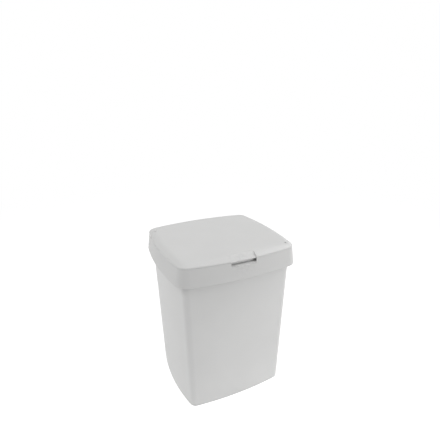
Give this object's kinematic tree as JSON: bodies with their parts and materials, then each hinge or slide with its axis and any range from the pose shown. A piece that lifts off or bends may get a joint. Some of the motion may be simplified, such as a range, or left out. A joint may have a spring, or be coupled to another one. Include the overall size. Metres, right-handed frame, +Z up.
{
  "type": "flip-lid bin",
  "caption": "Small bowed-square plastic bin with a tapered bucket, a deep skirt collar that lifts off and a flush lid that hinges up at the back over a finger notch.",
  "frame": {"origin": "on the floor, under the middle of the bin", "axes": "+Z up, front with the finger notch towards -Y, hinge towards +Y"},
  "size_m": [0.2332, 0.2156, 0.29],
  "materials": {
    "bucket_plastic": "fine matte, moulded",
    "collar_plastic": "fine matte, moulded",
    "lid_plastic": "fine matte, moulded"
  },
  "bodies": {
    "bucket": {"bin_body": "bucket_plastic"},
    "collar": {"collar": "collar_plastic"},
    "lid": {"lid_flap": "lid_plastic"}
  },
  "joints": [
    {"name": "collar_lift", "type": "slide", "parent": "bucket", "child": "collar", "axis": [0, 0, 1], "range_m": [0, 0.06]},
    {"name": "lid_hinge", "type": "hinge", "parent": "collar", "child": "lid", "pos_m": [0, 0.10402, 0.2745], "axis": [-1, 0, 0], "range_deg": [0, 100]}
  ]
}
